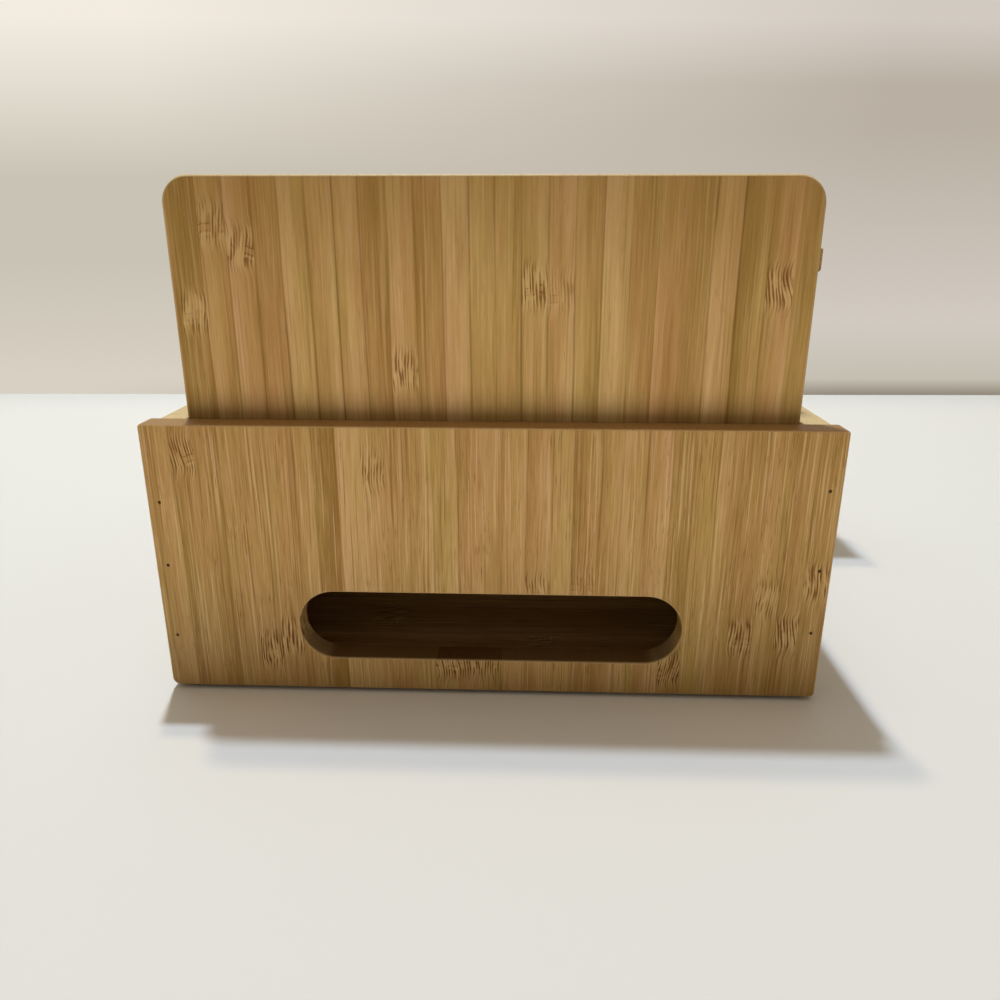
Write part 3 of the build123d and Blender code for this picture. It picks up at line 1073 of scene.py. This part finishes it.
@dataclass(frozen=True)
class Lamp:
    """A round lamp: where it hangs, its diameter, its share of full light and its colour."""

    name: str
    place: tuple[float, float, float]
    size: float
    share: float
    colour: str

    def hang(self) -> None:
        """Hang the lamp so that it points at the object."""
        lamp = bpy.data.lights.new(self.name, "AREA")
        lamp.shape = "DISK"
        lamp.size = self.size
        lamp.energy = self.share * math.pi**2 * Vector(self.place).length_squared
        lamp.color = linear(self.colour)[:3]
        hung = bpy.data.objects.new(self.name, lamp)
        hung.location = self.place
        hung.rotation_mode = "QUATERNION"
        hung.rotation_quaternion = (-Vector(self.place)).to_track_quat("-Z", "Y")
        bpy.context.scene.collection.objects.link(hung)


@dataclass(frozen=True)
class TableGlow:
    """The light that the brightly lit table in front of the camera throws up at the object."""

    middle: tuple[float, float, float] = (0.0208, 0.385, 0.002)
    width: float = 0.6
    depth: float = 0.39
    radiance: float = 1.86
    colour: str = "#fff3e8"

    def lay(self) -> None:
        """Lay the glow on the table, facing up, where the camera doesn't see it."""
        glow = bpy.data.lights.new("table_glow", "AREA")
        glow.shape = "RECTANGLE"
        glow.size = self.width
        glow.size_y = self.depth
        glow.energy = math.pi * self.width * self.depth * self.radiance
        glow.color = linear(self.colour)[:3]
        laid = bpy.data.objects.new("table_glow", glow)
        laid.location = self.middle
        laid.rotation_euler = (math.pi, 0.0, 0.0)
        laid.visible_camera = False
        laid.visible_glossy = False
        bpy.context.scene.collection.objects.link(laid)


@dataclass
class Studio:
    """Pale table, pale wall, lamps overhead and on the table, and the camera behind the object."""

    table_near: str = "#f5f5f6"
    table_far: str = "#ffffff"
    wall_paint: str = "#d2ccbf"
    wall_low: str = "#d8d0c2"
    wall_middle: str = "#c9c3b5"
    wall_high: str = "#f3ebe0"
    wall_shaded: str = "#b9b0a3"
    wall_shaded_low: str = "#c4beb1"
    wall_shaded_high: str = "#d2cac1"
    # Colour of the painted shadow along the wall's foot.
    wall_foot_shadow: str = "#8f8678"
    table_light_fade: tuple[float, float] = (-0.45, 0.2)
    wall_y: float = -0.505
    wall_slope: float = 0.036
    wall_height: float = 1.4
    wall_shown: float = 0.4
    wall_side: tuple[float, float] = (-0.35, 0.4)
    foot_shadow_height: float = 0.018
    foot_shadow_side: tuple[float, float] = (0.5, -0.35)
    reach: float = 1.4
    ambient: float = 0.27
    ambient_colour: str = "#ffedcf"
    lamps: tuple[Lamp, ...] = (
        Lamp("main_lamp", (0.245, -0.359, 2.12), size=0.085, share=0.465, colour="#dff0ff"),
        Lamp("second_lamp", (0.3065, -0.501, 2.12), size=0.09, share=0.175, colour="#ffeabb"),
        Lamp("soft_ceiling", (0.26, -0.41, 2.12), size=1.4, share=0.125, colour="#fbfdfa"),
    )
    glow: TableGlow = TableGlow()
    camera_place: tuple[float, float, float] = (0.00735, 0.3835, 0.1710)
    camera_heading: float = 181.977
    camera_pitch: float = 18.39
    camera_roll: float = 0.094
    lens_mm: float = 28.915
    sensor_mm: float = 36.0
    camera_clip: tuple[float, float] = (0.01, 50.0)

    def build(self) -> None:
        """Set the stage, the light and the camera."""
        self.lay_table()
        self.raise_wall()
        self.light_room()
        for lamp in self.lamps:
            lamp.hang()
        self.glow.lay()
        self.set_camera()

    def wall_line(self) -> tuple[tuple[float, float], tuple[float, float]]:
        """Give both ends of the wall's foot on the table."""
        aside = self.wall_slope * self.reach
        return (-self.reach, self.wall_y - aside), (self.reach, self.wall_y + aside)

    def lay_table(self) -> None:
        """Lay the pale table that the object stands on, with painted light: a little brighter
        towards the wall.
        """
        r = self.reach
        left, right = self.wall_line()
        table = plain_sheet("table", ((*left, 0), (*right, 0), (r, r, 0), (-r, r, 0)))
        material, tree = new_material("painted_table")
        coords = add_node(tree, "TexCoord")
        axes = add_node(tree, "SeparateXYZ", {0: coords.outputs["Object"]})
        # Painted light: the table's colour goes from the brighter far tint to the near one.
        far, near = self.table_light_fade
        links = {"Value": axes.outputs["Y"], "From Min": far, "From Max": near}
        depth = add_node(tree, "MapRange", links)
        tint = Ramp([(0.0, linear(self.table_far)), (1.0, linear(self.table_near))])
        links = {
            "Base Color": add_node(tree, "ValToRGB", {0: depth}, tint),
            "Roughness": 0.7,
            "Specular IOR Level": 0.15,
        }
        surface = add_node(tree, "BsdfPrincipled", links)
        add_node(tree, "OutputMaterial", {"Surface": surface})
        table.data.materials.append(material)

    def raise_wall(self) -> None:
        """Raise the pale wall in front of the object. Where it is seen directly it glows with
        painted light, lighter towards its top and its lit side, and with a painted shadow along its
        foot.
        """
        top = self.wall_height
        left, right = self.wall_line()
        wall = plain_sheet("wall", ((*left, top), (*right, top), (*right, 0), (*left, 0)))
        material, tree = new_material("painted_wall")
        coords = add_node(tree, "TexCoord")
        axes = add_node(tree, "SeparateXYZ", {0: coords.outputs["Object"]}).outputs
        height = add_node(tree, "MapRange", {"Value": axes["Z"], "From Max": self.wall_shown})
        lit = [
            (0.05, linear(self.wall_low)),
            (0.36, linear(self.wall_middle)),
            (0.56, linear(self.wall_middle)),
            (0.92, linear(self.wall_high)),
        ]
        shaded = [
            (0.04, linear(self.wall_shaded_low)),
            (0.2, linear(self.wall_shaded_high)),
            (0.68, linear(self.wall_shaded)),
            (0.78, linear(self.wall_shaded)),
            (0.92, linear(self.wall_shaded_high)),
        ]
        shade, light = self.wall_side
        links = {"Value": axes["X"], "From Min": shade, "From Max": light}
        side = add_node(tree, "MapRange", links)
        links = {
            0: side,
            6: add_node(tree, "ValToRGB", {0: height}, Ramp(shaded)),
            7: add_node(tree, "ValToRGB", {0: height}, Ramp(lit)),
        }
        tint = add_node(tree, "Mix", links, data_type="RGBA").outputs[2]
        # Painted shadow along the wall's foot, darker towards its shaded side.
        links = {"Value": axes["Z"], "From Min": self.foot_shadow_height, "From Max": 0.0}
        low = add_node(tree, "MapRange", links)
        bare, dark = self.foot_shadow_side
        links = {"Value": axes["X"], "From Min": bare, "From Max": dark}
        aside = add_node(tree, "MapRange", links)
        foot = add_node(tree, "Math", {0: low, 1: aside}, operation="MULTIPLY")
        links = {0: foot, 6: tint, 7: linear(self.wall_foot_shadow)}
        tint = add_node(tree, "Mix", links, data_type="RGBA").outputs[2]
        # Painted light: where the wall is seen directly, it glows with this gradient.
        shown = add_node(tree, "Emission", {"Color": tint, "Strength": 1.0})
        paint = add_node(tree, "BsdfDiffuse", {"Color": linear(self.wall_paint)})
        surface = add_node(tree, "MixShader", {0: seen_directly(tree), 1: paint, 2: shown})
        add_node(tree, "OutputMaterial", {"Surface": surface})
        wall.data.materials.append(material)

    def light_room(self) -> None:
        """Fill the room with even pale light, and show it pale where it is seen."""
        world = bpy.data.worlds.new("room")
        world.use_nodes = True
        tree = world.node_tree
        tree.nodes.clear()
        links = {"Color": linear(self.ambient_colour), "Strength": self.ambient}
        fill = add_node(tree, "Background", links)
        shown = add_node(tree, "Background", {"Color": linear(self.wall_high), "Strength": 1.0})
        surface = add_node(tree, "MixShader", {0: seen_directly(tree), 1: fill, 2: shown})
        add_node(tree, "OutputWorld", {"Surface": surface})
        bpy.context.scene.world = world

    def set_camera(self) -> None:
        """Put the camera where the photograph was taken from."""
        camera = bpy.data.cameras.new("camera")
        camera.lens = self.lens_mm
        camera.sensor_width = self.sensor_mm
        camera.sensor_fit = "HORIZONTAL"
        camera.clip_start, camera.clip_end = self.camera_clip
        stood = bpy.data.objects.new("camera", camera)
        turn = Matrix.Rotation(math.radians(self.camera_heading), 4, "Z")
        tilt = Matrix.Rotation(math.radians(90.0 - self.camera_pitch), 4, "X")
        roll = Matrix.Rotation(math.radians(self.camera_roll), 4, "Z")
        stood.matrix_world = Matrix.Translation(self.camera_place) @ turn @ tilt @ roll
        bpy.context.scene.collection.objects.link(stood)
        bpy.context.scene.camera = stood


def main() -> None:
    """Load the frame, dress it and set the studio."""
    logging.basicConfig(level=logging.INFO, format="%(name)s: %(message)s")
    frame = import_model()
    nodes = frame["nodes"]
    for assembly in (NailedBox(nodes), LiftOffDeck(nodes), Dividers(nodes), WatchStand(nodes)):
        assembly.dress()
    Studio().build()
    bpy.context.scene.view_settings.view_transform = "Standard"


if __name__ == "__main__":
    main()
